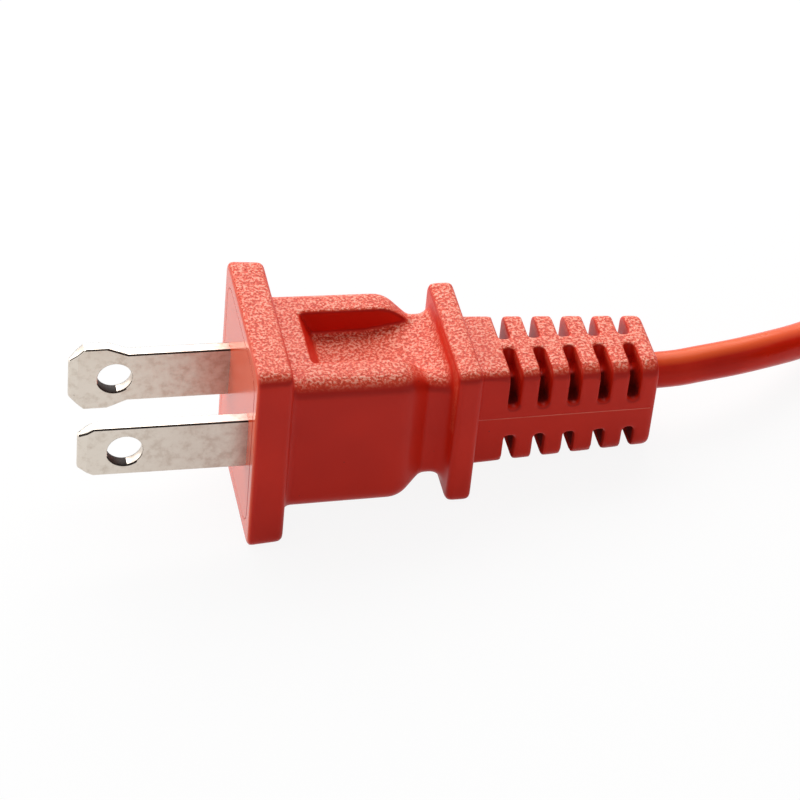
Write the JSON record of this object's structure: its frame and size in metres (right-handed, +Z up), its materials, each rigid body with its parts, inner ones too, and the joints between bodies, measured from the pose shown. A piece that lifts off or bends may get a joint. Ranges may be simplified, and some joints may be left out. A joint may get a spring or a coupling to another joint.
{
  "type": "type a mains plug",
  "caption": "Moulded mains plug with flat polarised blades, thumb recess, collar and ringed strain relief on a round cord that is folded into a tied hank.",
  "frame": {"origin": "bottom centre of the plug's bounding box as it lies on the floor, without the cord beyond the strain relief", "axes": "+X from the blades towards the cord, +Y across both blades towards the neutral one, +Z up from the floor"},
  "size_m": [0.1941, 0.0374, 0.024],
  "materials": {
    "body_pvc": "flexible PVC, fine spark-eroded texture on top, smoother at the sides",
    "carrier_plastic": "moulded, satin",
    "blade_metal": "nickel-plated, tarnished and scuffed",
    "copper_wire": "bare stranded copper",
    "tinned_wire": "tinned stranded copper",
    "black_insulation": "smooth extruded",
    "white_insulation": "smooth extruded",
    "cord_jacket": "smooth extruded PVC",
    "tie_strap": "matt strap"
  },
  "bodies": {
    "root": {"plug_body": "body_pvc", "blade_carrier": "carrier_plastic", "blade_live": "blade_metal", "blade_neutral": "blade_metal", "conductor_live": "copper_wire", "conductor_neutral": "copper_wire", "insulation_live": "black_insulation", "insulation_neutral": "white_insulation", "jacket_root": "cord_jacket", "cord_run": "cord_jacket", "cord_hank": "cord_jacket", "hank_tie": "tie_strap", "cord_tail": "cord_jacket", "far_insulation_live": "black_insulation", "far_insulation_neutral": "white_insulation", "far_conductor_live": "tinned_wire", "far_conductor_neutral": "tinned_wire"}
  },
  "joints": []
}
